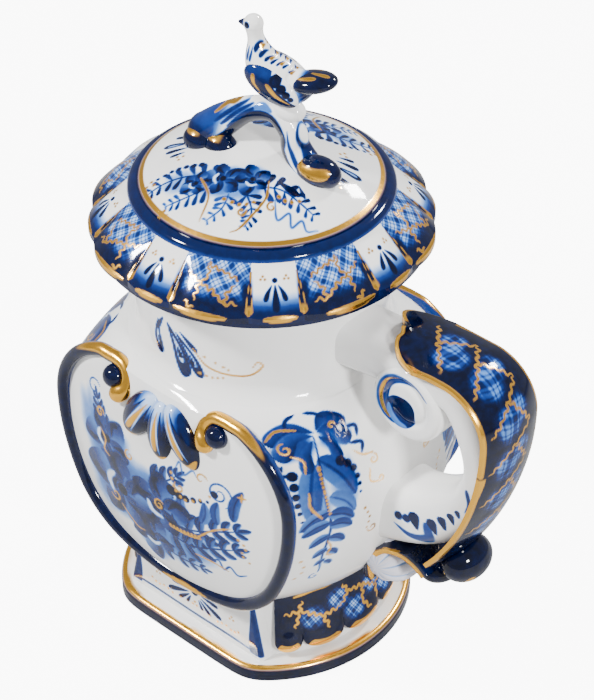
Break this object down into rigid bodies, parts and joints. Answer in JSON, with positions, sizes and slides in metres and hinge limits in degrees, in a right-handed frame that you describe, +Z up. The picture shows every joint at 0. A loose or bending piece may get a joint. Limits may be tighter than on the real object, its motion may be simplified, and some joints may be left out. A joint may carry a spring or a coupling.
{
  "type": "porcelain teapot",
  "caption": "Porcelain teapot on a pedestal foot, with domed painted panels, a scrolled strap handle, a short spout and a lift-off lid with a bird finial.",
  "frame": {"origin": "centre of the foot's underside", "axes": "+Z up, +X towards the handle, -Y towards the front panel"},
  "size_m": [0.1953, 0.124, 0.2602],
  "materials": {
    "white_glaze": "clear glossy glaze over white porcelain, with brush painting",
    "cobalt_glaze": "cobalt painting under a clear glossy glaze, with lines of burnished gold"
  },
  "bodies": {
    "pot": {"pot_body": "white_glaze", "foot_plate": "cobalt_glaze", "pedestal": "white_glaze", "apron_handle_side": "cobalt_glaze", "apron_spout_side": "cobalt_glaze", "front_frame": "cobalt_glaze", "back_frame": "cobalt_glaze", "front_shell": "cobalt_glaze", "back_shell": "cobalt_glaze", "handle_volute": "white_glaze", "handle_core": "white_glaze", "handle_strap": "cobalt_glaze", "handle_scroll": "cobalt_glaze", "handle_shell": "white_glaze", "handle_knob": "cobalt_glaze", "spout": "white_glaze"},
    "lid": {"lid_skirt": "cobalt_glaze", "lid_bead": "cobalt_glaze", "lid_dome": "white_glaze", "lid_collar": "white_glaze", "finial_branch": "cobalt_glaze", "finial_bird": "white_glaze"}
  },
  "joints": [
    {"name": "lid_lift", "type": "slide", "parent": "pot", "child": "lid", "axis": [0, 0, 1], "range_m": [0, 0.1]}
  ]
}
